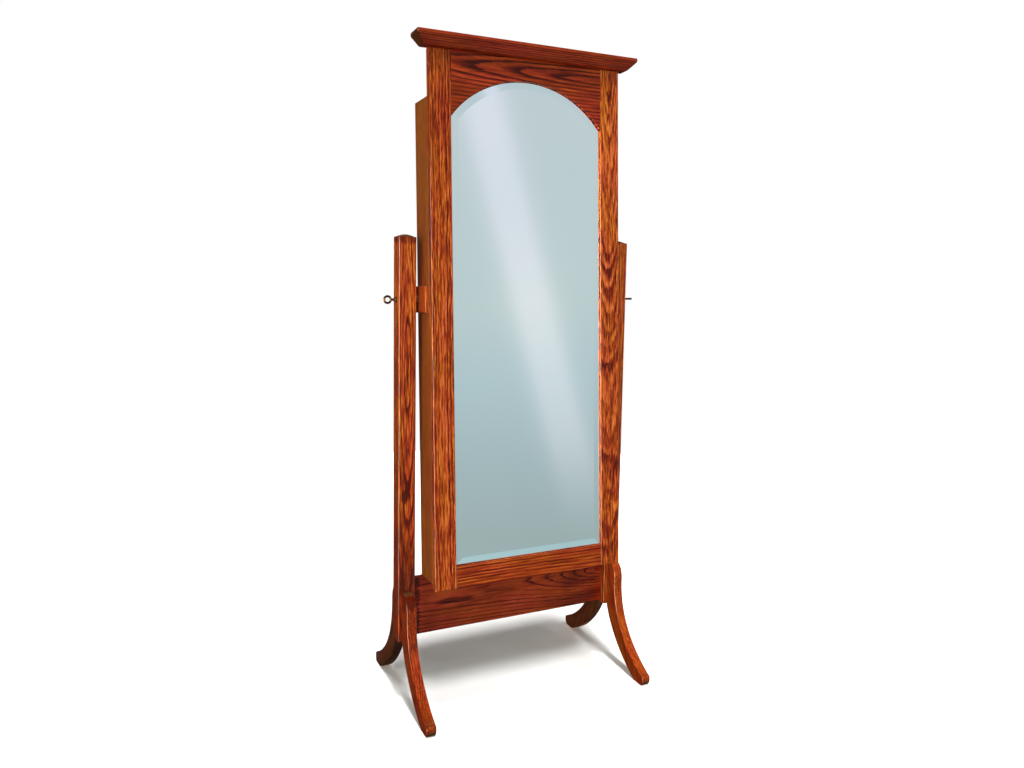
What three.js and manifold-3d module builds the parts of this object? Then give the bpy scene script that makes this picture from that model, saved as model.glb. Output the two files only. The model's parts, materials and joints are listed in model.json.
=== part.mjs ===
// Cheval mirror with a shallow cabinet behind its mirrored door, hung between two posts on sabre legs.
// Lengths are millimetres. +Z is up, +X is to the viewer's right, +Y points away from the viewer.
// The origin is on the floor, midway between the four feet.

import * as THREE from "three";
import { mergeVertices } from "three/addons/utils/BufferGeometryUtils.js";
import Module from "manifold-3d";

const wasm = await Module();
wasm.setup();

// Fits shared by every joint
const fit_gap = 0.3; // left between faces that touch
const cut_over = 6; // how far a cutter runs past the face it enters
const ease = 2.4; // rounding of the arrises of posts, legs and stiles
const fine_ease = 1.2; // rounding of the arrises of rails and small boards

// Legs
const leg_reach = 246; // from the middle of the stand to the tip of a toe
const leg_width = 27.5;
const leg_depth = 47; // front to back, where the front face is plumb
const leg_top_height = 313;
const leg_shoulder_drop = 40; // from the top of the leg to where its front face starts
const leg_straight_length = 18; // plumb stretch of the front face, below its shoulder
const toe_height = 31;
const toe_nose = 10; // how far the toe's tip stands out past its top edge
const toe_round = 17; // how far the sole's front edge is set back from the tip
const toe_tip_height = 19;
const sole_length = 29;
const dowel_radius = 4.75;
const dowel_length = 38;
const dowel_low_height = 206;
const dowel_pitch = 62;

// Posts and stretcher
const inner_span = 605; // between the posts
const post_width = 48;
const post_depth = 51;
const foot_rise = 172; // underside of the posts above the floor
const post_rise = 167; // from the pivot to the edges of the domed top
const post_dome = 7;
const stretcher_reveal = 6; // how far the posts run below the stretcher
const stretcher_height = 165;
const stretcher_thickness = 19;
const stretcher_tenon_length = 24;
const stretcher_tenon_height = 112;
const stretcher_tenon_thickness = 9;

// Pivots
const block_thickness = 9.5;
const block_height = 71;
const block_setback = 3; // from the front and back edges of the cabinet side
const spacer_thickness = 9.2;
const spacer_radius = 13;
const shank_radius = 4;
const shank_clearance = 0.6; // round the shank in the post and in the spacer
const collar_radius = 6.2;
const collar_length = 3;
const neck_length = 11.3;
const neck_radius = 4.6;
const ring_radius = 9.3;
const ring_wire_radius = 2.7;
const insert_radius = 6;
const insert_length = 18;
const shank_tip_setback = 2.5; // from the inner end of the insert

// Cabinet
const rest_lean_degrees = 3.47; // the cabinet's top leans back in the photograph
const box_clearance = 11; // between the upright cabinet's underside and the stretcher
const box_drop = 765; // from the pivot to the cabinet's underside
const box_height = 1294;
const box_depth = 97.5;
const box_behind_pivot = 25; // from the pivot axis to the cabinet's back
const side_thickness = 12;
const end_thickness = 12;
const back_thickness = 6;
const rabbet_width = 6;
const lining_thickness = 3;
const shelf_thickness = 10;
const shelf_lip_height = 22;
const shelf_lip_thickness = 8;
const shelf_setback = 6;
const shelf_height_shares = [0.16, 0.36, 0.58];
const shelf_names = ["lower_shelf", "middle_shelf", "upper_shelf"];
const rail_height = 32;
const rail_thickness = 12;
const rail_drop = 38; // from the cabinet's ceiling to the top of the necklace rail
const hook_count = 4;
const hook_radius = 1.5;
const hook_reach = 17;
const hook_bowl_radius = 6;
const hook_tip_rise = 7;
const hook_seat_depth = 8;

// Door
const door_gap = 1.5; // between the closed door and the cabinet
const door_overlap = 0.6; // how far the door stands past each cabinet side
const door_lip = 15; // how far the door runs below the cabinet's underside
const door_rise = 122; // how far the door runs above the cabinet's top
const door_thickness = 22;
const stile_width = 60;
const bottom_rail_height = 62;
const arch_rise = 112;
const arch_head = 60; // top rail's height over the crest of the arch
const sight_depth = 5; // from the door's face to the glass
const glass_thickness = 5;
const glass_bevel_width = 28;
const glass_bevel_depth = 2.4;
const glass_rebate = 8;
const rail_tenon_length = 26;
const rail_tenon_thickness = 7;
const bottom_tenon_height = 36;
const top_tenon_height = 96;
const rail_tenon_margin = 12; // from the tenon to the rail's outer edge
const clip_length = 34;
const clip_width = 14;
const clip_thickness = 1.8;
const clip_screw_radius = 4;
const clip_screw_height = 1.4;
const clip_lap = 13; // how far a clip reaches over the backing board

// Crown board
const crown_height = 33;
const crown_end_overhang = 41;
const crown_front_overhang = 40;
const crown_bevel = 22;
const crown_nose = 10;
const crown_nose_ease = 2;

// Hinges and catch
const barrel_radius = 3.2;
const barrel_clearance = 0.5;
const hinge_pin_radius = 1.4;
const hinge_head_radius = 2.5;
const hinge_head_height = 1.6;
const leaf_height = 64;
const leaf_thickness = 1.6;
const leaf_setback = 1; // from the inner face of the cabinet side
const hinge_end_distance = 130; // from the cabinet's ends to the outer hinges
const catch_width = 14;
const catch_depth = 20;
const catch_height = 45;
const strike_width = 12;
const strike_height = 40;
const strike_thickness = 1.4;
const catch_above_pivot = 60;

// Facets round each kind of curve
const sides = { dowel: 14, shank: 20, spacer: 24, barrel: 16, pin: 10, hook: 6, screw: 12 };
const arc_steps = { dome: 12, arch: 32, leg: 14, ring: 24, wire: 10, hook: 12 };

// Places that follow from the sizes above
const half_span = inner_span / 2;
const post_middle = half_span + post_width / 2;
const post_outer = half_span + post_width;
const stretcher_low = foot_rise + stretcher_reveal;
const stretcher_top = stretcher_low + stretcher_height;
const box_behind = Math.hypot(box_drop, box_behind_pivot) - box_drop;
const pivot_height = stretcher_top + box_clearance + box_behind + box_drop;
const half_box = half_span - block_thickness - spacer_thickness - 3 * fit_gap;
const box_back = box_behind_pivot;
const box_front = box_back - box_depth;
const box_low = -box_drop;
const box_top = box_low + box_height;
const block_face = half_box + fit_gap + block_thickness;
const half_inside = half_box - side_thickness;
const floor_inside = box_low + end_thickness;
const ceiling_inside = box_top - end_thickness;
const lining_back = box_back - back_thickness - fit_gap;
const lining_front = lining_back - lining_thickness;
const half_door = half_box + door_overlap;
const door_back = box_front - door_gap;
const door_front = door_back - door_thickness;
const door_low = box_low - door_lip;
const door_top = box_top + door_rise;
const half_sight = half_door - stile_width;
const sight_low = door_low + bottom_rail_height;
const crest = door_top - arch_head;
const arch_radius = (half_sight * half_sight + arch_rise * arch_rise) / (2 * arch_rise);
const arch_centre = crest - arch_radius;
const glass_front = door_front + sight_depth + fit_gap;
const glass_back = glass_front + glass_thickness;
const hinge_x = half_door + barrel_radius + fit_gap;
const hinge_y = door_back + door_gap / 2;

// Joins and cuts closed shapes
function solidOf(geometry) {
  const plain = geometry.clone();
  plain.deleteAttribute("normal");
  plain.deleteAttribute("uv");
  const merged = mergeVertices(plain);
  const vertProperties = new Float32Array(merged.attributes.position.array);
  const triVerts = new Uint32Array(merged.index.array);
  return new wasm.Manifold(new wasm.Mesh({ numProp: 3, vertProperties, triVerts }));
}

function geometryOf(solid) {
  const mesh = solid.getMesh();
  const geometry = new THREE.BufferGeometry();
  geometry.setAttribute("position", new THREE.BufferAttribute(mesh.vertProperties, 3));
  geometry.setIndex(new THREE.BufferAttribute(mesh.triVerts, 1));
  geometry.computeVertexNormals();
  return geometry;
}

function cut(geometry, ...cutters) {
  return geometryOf(cutters.reduce((solid, cutter) => solid.subtract(solidOf(cutter)), solidOf(geometry)));
}

function join(geometry, ...additions) {
  return geometryOf(additions.reduce((solid, addition) => solid.add(solidOf(addition)), solidOf(geometry)));
}

// What two closed shapes have in common
function overlap(geometry, other) {
  return geometryOf(solidOf(geometry).intersect(solidOf(other)));
}

// A plain board between two corners, given in any order
function board(x0, x1, y0, y1, z0, z1) {
  const geometry = new THREE.BoxGeometry(Math.abs(x1 - x0), Math.abs(y1 - y0), Math.abs(z1 - z0));
  return geometry.translate((x0 + x1) / 2, (y0 + y1) / 2, (z0 + z1) / 2);
}

// An outline drawn in Y and Z becomes a board that lies along X, with rounded arrises
function slabAlongX(outline, width, round, curveSegments) {
  const geometry = new THREE.ExtrudeGeometry(outline, {
    depth: width - 2 * round,
    bevelThickness: round,
    bevelSize: round,
    bevelOffset: -round,
    bevelSegments: 2,
    curveSegments,
  });
  geometry.translate(0, 0, round - width / 2);
  return geometry.applyMatrix4(new THREE.Matrix4().set(0, 0, 1, 0, 1, 0, 0, 0, 0, 1, 0, 0, 0, 0, 0, 1));
}

// An outline drawn in X and Z becomes a board that faces the viewer, from y0 back to y1
function slabAlongY(outline, y0, y1, round, curveSegments) {
  const geometry = new THREE.ExtrudeGeometry(outline, {
    depth: y1 - y0 - 2 * round,
    bevelEnabled: round > 0,
    bevelThickness: round,
    bevelSize: round,
    bevelOffset: -round,
    bevelSegments: 1,
    curveSegments,
  });
  return geometry.rotateX(Math.PI / 2).translate(0, y1 - round, 0);
}

function rectangle(u0, u1, v0, v1) {
  const outline = new THREE.Shape();
  outline.moveTo(u0, v0).lineTo(u1, v0).lineTo(u1, v1).lineTo(u0, v1);
  return outline;
}

// A turned piece along X from stations of [x, radius]
function turnedAlongX(stations, segments) {
  const ends = [[stations[0][0], 0], ...stations, [stations[stations.length - 1][0], 0]];
  const profile = ends.map(([x, radius]) => new THREE.Vector2(radius, x));
  return new THREE.LatheGeometry(profile, segments).rotateZ(-Math.PI / 2);
}

// A sleeve along X between x0 and x1
function sleeveAlongX(x0, x1, bore, outer, segments) {
  const corners = [[bore, x0], [outer, x0], [outer, x1], [bore, x1], [bore, x0]];
  const profile = corners.map(([radius, x]) => new THREE.Vector2(radius, x));
  return new THREE.LatheGeometry(profile, segments).rotateZ(-Math.PI / 2);
}

function rodAlongY(x, z, y0, y1, radius, segments) {
  return new THREE.CylinderGeometry(radius, radius, y1 - y0, segments).translate(x, (y0 + y1) / 2, z);
}

function rodAlongZ(x, y, z0, z1, radius, segments) {
  const geometry = new THREE.CylinderGeometry(radius, radius, z1 - z0, segments).rotateX(Math.PI / 2);
  return geometry.translate(x, y, (z0 + z1) / 2);
}

// Stained oak differs a little from board to board, metal and glass are one colour each
const finishes = {
  oak: [0x9c4a22, 0.34, 0],
  dark_oak: [0x7c301a, 0.34, 0],
  shaded_oak: [0x77431d, 0.4, 0],
  beech: [0xb98e5e, 0.6, 0],
  brass: [0x5c4a2c, 0.35, 0.9],
  bright_brass: [0xb08a3e, 0.3, 0.9],
  steel: [0x9a9ca0, 0.3, 0.9],
  velvet: [0x2c1416, 0.95, 0],
  fibre: [0x1d1b1a, 0.7, 0],
  magnet_case: [0x5a3a22, 0.6, 0],
  mirror: [0xb4c8ce, 0.05, 0.9],
};

function part(name, geometry, finish) {
  const [color, roughness, metalness] = finishes[finish];
  const mesh = new THREE.Mesh(geometry, new THREE.MeshStandardMaterial({ color, roughness, metalness }));
  mesh.name = name;
  return mesh;
}

const mirror_cabinet = new THREE.Group();
const stand = new THREE.Group();
const cabinet = new THREE.Group();
const door = new THREE.Group();
mirror_cabinet.add(stand, cabinet);
cabinet.add(door);
cabinet.position.z = pivot_height;
cabinet.rotation.x = -THREE.MathUtils.degToRad(rest_lean_degrees);

// Sabre leg: straight against the post, then swept out to a toe with a flat sole.
// The outline is drawn from the post's face outwards; the shares place the curves' handles.
const outer_sweep_shares = [[0, 0.64], [0.24, 0.27]];
const under_sweep_shares = [[0.11, 0.68], [0.48, 0.235]];
const leg_top_handle_share = 0.86;

function legOutline() {
  const face = post_depth / 2;
  const reach = leg_reach - face;
  const toe_edge = reach - toe_nose;
  const sole_front = reach - toe_round;
  const sole_back = sole_front - sole_length;
  const swept = toe_edge - leg_depth;
  const shoulder = leg_top_height - leg_shoulder_drop;
  const plumb_end = shoulder - leg_straight_length;
  const fall = plumb_end - toe_height;
  const [[a_u, a_v], [b_u, b_v]] = outer_sweep_shares;
  const [[c_u, c_v], [d_u, d_v]] = under_sweep_shares;
  const shape = new THREE.Shape();
  shape.moveTo(fit_gap, foot_rise);
  shape.bezierCurveTo(c_u * sole_back, c_v * foot_rise, d_u * sole_back, d_v * foot_rise, sole_back, 0);
  shape.lineTo(sole_front, 0);
  shape.quadraticCurveTo(reach, 0, reach, toe_tip_height);
  shape.quadraticCurveTo(reach, toe_height, toe_edge, toe_height);
  shape.bezierCurveTo(
    leg_depth + b_u * swept, toe_height + b_v * fall,
    leg_depth + a_u * swept, toe_height + a_v * fall,
    leg_depth, plumb_end,
  );
  shape.lineTo(leg_depth, shoulder);
  shape.quadraticCurveTo(leg_top_handle_share * leg_depth, leg_top_height, fit_gap, leg_top_height);
  return shape;
}

function dowelHeights() {
  return [["lower", dowel_low_height], ["upper", dowel_low_height + dowel_pitch]];
}

function dowelHole(x, side, z) {
  const face = post_depth / 2;
  const half = dowel_length / 2 + fit_gap;
  return rodAlongY(x, z, side * face - half, side * face + half, dowel_radius + fit_gap, sides.dowel);
}

function legGeometry(side) {
  const geometry = slabAlongX(legOutline(), leg_width, ease, arc_steps.leg).translate(0, post_depth / 2, 0);
  if (side < 0) geometry.rotateZ(Math.PI);
  return cut(geometry, ...dowelHeights().map(([, z]) => dowelHole(0, side, z)));
}

for (const [across, x] of [["left", -post_middle], ["right", post_middle]]) {
  for (const [along, side] of [["front", -1], ["back", 1]]) {
    const leg = part(`${across}_${along}_leg`, legGeometry(side), "oak");
    leg.position.x = x;
    stand.add(leg);
    for (const [level, z] of dowelHeights()) {
      const rod = rodAlongY(0, 0, -dowel_length / 2, dowel_length / 2, dowel_radius, sides.dowel);
      const dowel = part(`${across}_${along}_leg_${level}_dowel`, rod, "beech");
      dowel.position.set(x, side * (post_depth / 2), z);
      stand.add(dowel);
    }
  }
}

// Post: a plain square stick whose top is domed both from front to back and from side to side
const dome_handle_share = 1; // the dome's handle stands this share of its rise above its crest

// The post's outline, across half of its width or of its depth to each side
function postOutline(half) {
  const shoulder = pivot_height + post_rise;
  const shape = new THREE.Shape();
  shape.moveTo(-half, foot_rise);
  shape.lineTo(half, foot_rise);
  shape.lineTo(half, shoulder);
  shape.quadraticCurveTo(0, shoulder + post_dome * (1 + dome_handle_share), -half, shoulder);
  return shape;
}

function postGeometry(side) {
  const inward = -side * (post_width / 2);
  const middle = (stretcher_low + stretcher_top) / 2;
  const half_tenon = stretcher_tenon_height / 2 + fit_gap;
  const half_thick = stretcher_tenon_thickness / 2 + fit_gap;
  const mortise_end = inward + side * (stretcher_tenon_length + fit_gap);
  const mortise = board(
    inward - side * cut_over, mortise_end,
    -half_thick, half_thick,
    middle - half_tenon, middle + half_tenon,
  );
  const bore_half = post_width / 2 + cut_over;
  const bore_radius = shank_radius + shank_clearance;
  const bore = turnedAlongX([[-bore_half, bore_radius], [bore_half, bore_radius]], sides.shank);
  const holes = dowelHeights().flatMap(([, z]) => [dowelHole(0, -1, z), dowelHole(0, 1, z)]);
  const half_depth = post_depth / 2;
  const stick = slabAlongX(postOutline(half_depth), post_width, ease, arc_steps.dome);
  const reach = half_depth + cut_over;
  const sideways = slabAlongY(postOutline(post_width / 2), -reach, reach, 0, arc_steps.dome);
  return cut(overlap(stick, sideways), mortise, bore.translate(0, 0, pivot_height), ...holes);
}

for (const [across, side] of [["left", -1], ["right", 1]]) {
  const post = part(`${across}_post`, postGeometry(side), "oak");
  post.position.x = side * post_middle;
  stand.add(post);
}

// Stretcher: a wide board with a stub tenon in each post
function stretcherGeometry() {
  const half_thick = stretcher_thickness / 2;
  const section = rectangle(-half_thick, half_thick, stretcher_low, stretcher_top);
  const plank = slabAlongX(section, inner_span - 2 * fit_gap, fine_ease, 1);
  const middle = (stretcher_low + stretcher_top) / 2;
  const half_tongue = half_span + stretcher_tenon_length - fit_gap;
  const tongue = board(
    -half_tongue, half_tongue,
    -stretcher_tenon_thickness / 2, stretcher_tenon_thickness / 2,
    middle - stretcher_tenon_height / 2, middle + stretcher_tenon_height / 2,
  );
  return join(plank, tongue);
}

stand.add(part("stretcher", stretcherGeometry(), "dark_oak"));

// Ring-headed thumbscrew: passes through the post and the spacer into the insert in the pivot block.
// It is drawn for the right side and turned half round for the left.
function thumbscrewGeometry(ring_roll) {
  const insert_end = block_face - insert_length;
  const seat = post_outer + fit_gap;
  const neck_start = seat + collar_length;
  const neck_end = neck_start + neck_length;
  const chamfer = shank_radius / 4;
  const stations = [
    [insert_end + shank_tip_setback, shank_radius - chamfer],
    [insert_end + shank_tip_setback + chamfer, shank_radius],
    [seat, shank_radius],
    [seat, collar_radius],
    [neck_start, collar_radius],
    [neck_start, neck_radius],
    [neck_end, ring_wire_radius],
  ];
  const ring = new THREE.TorusGeometry(ring_radius, ring_wire_radius, arc_steps.wire, arc_steps.ring);
  ring.rotateX(ring_roll);
  ring.translate(neck_end + ring_radius, 0, 0);
  return join(turnedAlongX(stations, sides.shank), ring);
}

function insertGeometry() {
  const bore = shank_radius + fit_gap;
  return sleeveAlongX(block_face - insert_length, block_face, bore, insert_radius, sides.shank);
}

function spacerGeometry() {
  const start = block_face + fit_gap;
  const bore = shank_radius + shank_clearance;
  return sleeveAlongX(start, start + spacer_thickness, bore, spacer_radius, sides.spacer);
}

function insertHole(side) {
  const radius = insert_radius + fit_gap;
  const stations = [[block_face - insert_length - fit_gap, radius], [block_face + cut_over, radius]];
  const hole = turnedAlongX(stations, sides.shank);
  return side < 0 ? hole.rotateZ(Math.PI) : hole;
}

// Pivot block: a small eased block on the cabinet side, bored for the insert
function blockGeometry(side) {
  const section = rectangle(
    box_front + block_setback, box_back - block_setback,
    -block_height / 2, block_height / 2,
  );
  const block = slabAlongX(section, block_thickness, fine_ease, 1);
  block.translate(side * (block_face - block_thickness / 2), 0, 0);
  return cut(block, insertHole(side));
}

const left_ring_roll = Math.PI / 2;
const right_ring_roll = 0;
for (const [across, side, roll] of [["left", -1, left_ring_roll], ["right", 1, right_ring_roll]]) {
  const turned = [
    part(`${across}_thumbscrew`, thumbscrewGeometry(roll), "brass"),
    part(`${across}_threaded_insert`, insertGeometry(), "bright_brass"),
    part(`${across}_pivot_spacer`, spacerGeometry(), "fibre"),
  ];
  for (const piece of turned) {
    piece.rotation.z = side < 0 ? Math.PI : 0;
    cabinet.add(piece);
  }
  cabinet.add(part(`${across}_pivot_block`, blockGeometry(side), "dark_oak"));
}

// Hinge places, one a set distance from each end of the cabinet and one halfway
const hinge_places = [
  ["upper", box_top - hinge_end_distance],
  ["middle", (box_top + box_low) / 2],
  ["lower", box_low + hinge_end_distance],
];
const leaf_edge = half_inside + leaf_setback;
const leaf_half_gap = fit_gap / 2;
const knuckle = leaf_height / 3;

function leafMortises(y0, y1) {
  const half = leaf_height / 2 + fit_gap;
  return hinge_places.map(([, z]) => board(leaf_edge - fit_gap, hinge_x, y0, y1, z - half, z + half));
}

// Cabinet carcass: sides, top and bottom with a rabbet that the back panel drops into
function sideGeometry(side) {
  const rabbet_front = box_back - back_thickness - fit_gap;
  const panel = board(side * half_inside, side * half_box, box_front, box_back, box_low, box_top);
  const rabbet = board(
    side * (half_inside - cut_over), side * (half_inside + rabbet_width),
    rabbet_front, box_back + cut_over,
    box_low - cut_over, box_top + cut_over,
  );
  const cutters = [rabbet, insertHole(side)];
  if (side > 0) {
    const floor = hinge_y + leaf_half_gap + leaf_thickness + fit_gap;
    cutters.push(...leafMortises(box_front - cut_over, floor));
  }
  return cut(panel, ...cutters);
}

function endGeometry(z_inside, z_outside) {
  const outward = Math.sign(z_outside - z_inside);
  const half = half_inside - fit_gap;
  const panel = board(-half, half, box_front, box_back, z_inside, z_outside);
  const rabbet = board(
    -half - cut_over, half + cut_over,
    box_back - back_thickness - fit_gap, box_back + cut_over,
    z_inside - outward * cut_over, z_inside + outward * rabbet_width,
  );
  return cut(panel, rabbet);
}

function backGeometry() {
  const half = half_inside + rabbet_width - fit_gap;
  const low = floor_inside - rabbet_width + fit_gap;
  const top = ceiling_inside + rabbet_width - fit_gap;
  return board(-half, half, box_back - back_thickness, box_back, low, top);
}

function liningGeometry() {
  const half = half_inside - fit_gap;
  return board(-half, half, lining_front, lining_back, floor_inside + fit_gap, ceiling_inside - fit_gap);
}

cabinet.add(
  part("cabinet_left_side", sideGeometry(-1), "shaded_oak"),
  part("cabinet_right_side", sideGeometry(1), "shaded_oak"),
  part("cabinet_top", endGeometry(ceiling_inside, box_top), "shaded_oak"),
  part("cabinet_bottom", endGeometry(floor_inside, box_low), "shaded_oak"),
  part("cabinet_back", backGeometry(), "shaded_oak"),
  part("lining_panel", liningGeometry(), "velvet"),
);

// Shelf: a board with a lip along its front
function shelfGeometry() {
  const front = box_front + shelf_setback;
  const back = lining_front - fit_gap;
  const shape = new THREE.Shape();
  shape.moveTo(front, 0).lineTo(back, 0).lineTo(back, shelf_thickness);
  shape.lineTo(front + shelf_lip_thickness, shelf_thickness);
  shape.lineTo(front + shelf_lip_thickness, shelf_thickness + shelf_lip_height);
  shape.lineTo(front, shelf_thickness + shelf_lip_height);
  return slabAlongX(shape, 2 * (half_inside - fit_gap), fine_ease / 2, 1);
}

shelf_names.forEach((name, index) => {
  const shelf = part(name, shelfGeometry(), "shaded_oak");
  shelf.position.z = floor_inside + shelf_height_shares[index] * (ceiling_inside - floor_inside);
  cabinet.add(shelf);
});

// Necklace rail across the top, with hooks screwed into its face
const rail_front = lining_front - fit_gap - rail_thickness;
const rail_top = ceiling_inside - rail_drop;
const hook_height = rail_top - rail_height / 2;
const hook_pitch = (2 * half_inside) / hook_count;
const hook_places = Array.from({ length: hook_count }, (_, i) => (i + 1 / 2) * hook_pitch - half_inside);

function necklaceRailGeometry() {
  const section = rectangle(rail_front, rail_front + rail_thickness, rail_top - rail_height, rail_top);
  const strip = slabAlongX(section, 2 * (half_inside - fit_gap), fine_ease, 1);
  const seat = rail_front + hook_seat_depth + fit_gap;
  const holes = hook_places.map((x) =>
    rodAlongY(x, hook_height, rail_front - cut_over, seat, hook_radius + fit_gap, sides.screw),
  );
  return cut(strip, ...holes);
}

// Cup hook: a straight shank out of the rail, then a bowl that turns up to a tip
function hookGeometry() {
  const bowl_y = rail_front - hook_reach + hook_bowl_radius;
  const path = new THREE.CurvePath();
  const seat = new THREE.Vector3(0, rail_front + hook_seat_depth, 0);
  const bend = new THREE.Vector3(0, bowl_y, 0);
  const corner = new THREE.Vector3(0, bowl_y - hook_bowl_radius, 0);
  const turned = new THREE.Vector3(0, bowl_y - hook_bowl_radius, hook_bowl_radius);
  const tip = new THREE.Vector3(0, bowl_y - hook_bowl_radius, hook_bowl_radius + hook_tip_rise);
  path.add(new THREE.LineCurve3(seat, bend));
  path.add(new THREE.QuadraticBezierCurve3(bend, corner, turned));
  path.add(new THREE.LineCurve3(turned, tip));
  const ring = new THREE.Shape().absarc(0, 0, hook_radius, 0, 2 * Math.PI);
  return new THREE.ExtrudeGeometry(ring, {
    extrudePath: path,
    steps: arc_steps.hook,
    curveSegments: sides.hook / 2,
  });
}

cabinet.add(part("necklace_rail", necklaceRailGeometry(), "shaded_oak"));
hook_places.forEach((x, index) => {
  const hook = part(`necklace_hook_${index + 1}`, hookGeometry(), "bright_brass");
  hook.position.set(x, 0, hook_height);
  cabinet.add(hook);
});

// Outline of the glass opening, grown or shrunk on every side
function archOutline(grow) {
  const half = half_sight + grow;
  const radius = arch_radius + grow;
  const half_angle = Math.asin(half / radius);
  const shape = new THREE.Shape();
  shape.moveTo(-half, sight_low - grow);
  shape.lineTo(half, sight_low - grow);
  shape.absarc(0, arch_centre, radius, Math.PI / 2 - half_angle, Math.PI / 2 + half_angle, false);
  return shape;
}

const rebate_grow = glass_rebate + fit_gap;

function rebateCutter() {
  const floor = door_front + sight_depth;
  return slabAlongY(archOutline(rebate_grow), floor, door_back + cut_over, 0, arc_steps.arch);
}

// Rail tenons run in the wood behind the sight edge
const tenon_front = door_front + sight_depth;
const tenon_back = tenon_front + rail_tenon_thickness;
const tenon_low_places = [door_low + rail_tenon_margin, door_top - rail_tenon_margin - top_tenon_height];
const tenon_heights = [bottom_tenon_height, top_tenon_height];

function tenonGeometry(index, grow) {
  const half = half_sight + rail_tenon_length + grow;
  const low = tenon_low_places[index] - grow;
  const high = tenon_low_places[index] + tenon_heights[index] + grow;
  return board(-half, half, tenon_front - grow, tenon_back + grow, low, high);
}

function stileGeometry(side) {
  const near = side * half_sight;
  const far = side * half_door;
  const outline = rectangle(Math.min(near, far), Math.max(near, far), door_low, door_top);
  const stile = slabAlongY(outline, door_front, door_back, ease, 1);
  const cutters = [rebateCutter(), tenonGeometry(0, fit_gap), tenonGeometry(1, fit_gap)];
  if (side > 0) {
    const floor = hinge_y - leaf_half_gap - leaf_thickness - fit_gap;
    cutters.push(...leafMortises(floor, door_back + cut_over));
  }
  return cut(stile, ...cutters);
}

function bottomRailGeometry() {
  const half = half_sight - fit_gap;
  const outline = rectangle(-half, half, door_low, sight_low);
  const rail = slabAlongY(outline, door_front, door_back, fine_ease, 1);
  return cut(join(rail, tenonGeometry(0, 0)), rebateCutter());
}

// Top rail: a board between the stiles whose lower edge is the arch
function topRailGeometry() {
  const half = half_sight - fit_gap;
  const half_angle = Math.asin(half / arch_radius);
  const outline = new THREE.Shape();
  outline.moveTo(half, door_top);
  outline.lineTo(-half, door_top);
  outline.absarc(0, arch_centre, arch_radius, Math.PI / 2 + half_angle, Math.PI / 2 - half_angle, true);
  const rail = slabAlongY(outline, door_front, door_back, fine_ease, arc_steps.arch);
  return cut(join(rail, tenonGeometry(1, 0)), rebateCutter());
}

// A solid through flat rings at rising heights; the rings' points match one to one
function layeredSolid(layers) {
  const count = layers[0].points.length;
  const positions = layers.flatMap(({ points, height }) => points.flatMap((p) => [p.x, p.y, height]));
  const index = [];
  for (let start = 0; start < (layers.length - 1) * count; start += count) {
    for (let i = 0; i < count; i += 1) {
      const here = start + i;
      const next = start + ((i + 1) % count);
      index.push(here, next, next + count, here, next + count, here + count);
    }
  }
  const last = (layers.length - 1) * count;
  const floor = THREE.ShapeUtils.triangulateShape(layers[0].points, []);
  const lid = THREE.ShapeUtils.triangulateShape(layers[layers.length - 1].points, []);
  for (const [a, b, c] of floor) index.push(c, b, a);
  for (const [a, b, c] of lid) index.push(last + a, last + b, last + c);
  const geometry = new THREE.BufferGeometry();
  geometry.setAttribute("position", new THREE.Float32BufferAttribute(positions, 3));
  geometry.setIndex(index);
  geometry.computeVertexNormals();
  return geometry;
}

// Mirror glass: follows the opening, with a wide bevel ground round its face
function glassGeometry() {
  const layer = (grow, y) => ({ points: archOutline(grow).getPoints(arc_steps.arch), height: -y });
  const land = glass_rebate - glass_bevel_width;
  const layers = [
    layer(glass_rebate, glass_back),
    layer(glass_rebate, glass_front + glass_bevel_depth),
    layer(land, glass_front),
  ];
  return layeredSolid(layers).rotateX(Math.PI / 2);
}

function backingGeometry() {
  const front = glass_back + fit_gap;
  return slabAlongY(archOutline(glass_rebate), front, door_back - fit_gap, 0, arc_steps.arch);
}

// Crown board: a square nose over a straight bevel, on the front and both ends
function crownGeometry() {
  const layer = (inset, height) => {
    const half = half_door + crown_end_overhang - inset;
    const front = door_front - crown_front_overhang + inset;
    return { points: rectangle(-half, half, front, door_back).getPoints(), height };
  };
  const top = door_top + crown_height;
  return layeredSolid([
    layer(crown_bevel, door_top + fit_gap),
    layer(0, top - crown_nose),
    layer(0, top - crown_nose_ease),
    layer(crown_nose_ease, top),
  ]);
}

door.add(
  part("door_left_stile", stileGeometry(-1), "oak"),
  part("door_right_stile", stileGeometry(1), "oak"),
  part("door_bottom_rail", bottomRailGeometry(), "oak"),
  part("door_top_rail", topRailGeometry(), "dark_oak"),
  part("mirror_glass", glassGeometry(), "mirror"),
  part("mirror_backing", backingGeometry(), "shaded_oak"),
  part("crown_board", crownGeometry(), "dark_oak"),
);

// Clips hold the backing board into its rebate, each under one round-headed screw
const clip_height_shares = [0.14, 0.9];

function clipGeometry(side) {
  const edge = half_sight + glass_rebate;
  const near = edge - clip_lap;
  const face = door_back + fit_gap;
  const back = face + clip_thickness;
  const plate = board(side * near, side * (near + clip_length), face, back, -clip_width / 2, clip_width / 2);
  const head_x = side * (near + clip_length - clip_width / 2);
  const head_start = face + clip_thickness / 2;
  const head_end = back + clip_screw_height;
  return join(plate, rodAlongY(head_x, 0, head_start, head_end, clip_screw_radius, sides.screw));
}

for (const [across, side] of [["left", -1], ["right", 1]]) {
  for (const [level, share] of [["lower", clip_height_shares[0]], ["upper", clip_height_shares[1]]]) {
    const clip = part(`${across}_${level}_mirror_clip`, clipGeometry(side), "steel");
    clip.position.z = sight_low + share * (arch_centre - sight_low);
    door.add(clip);
  }
}

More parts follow.
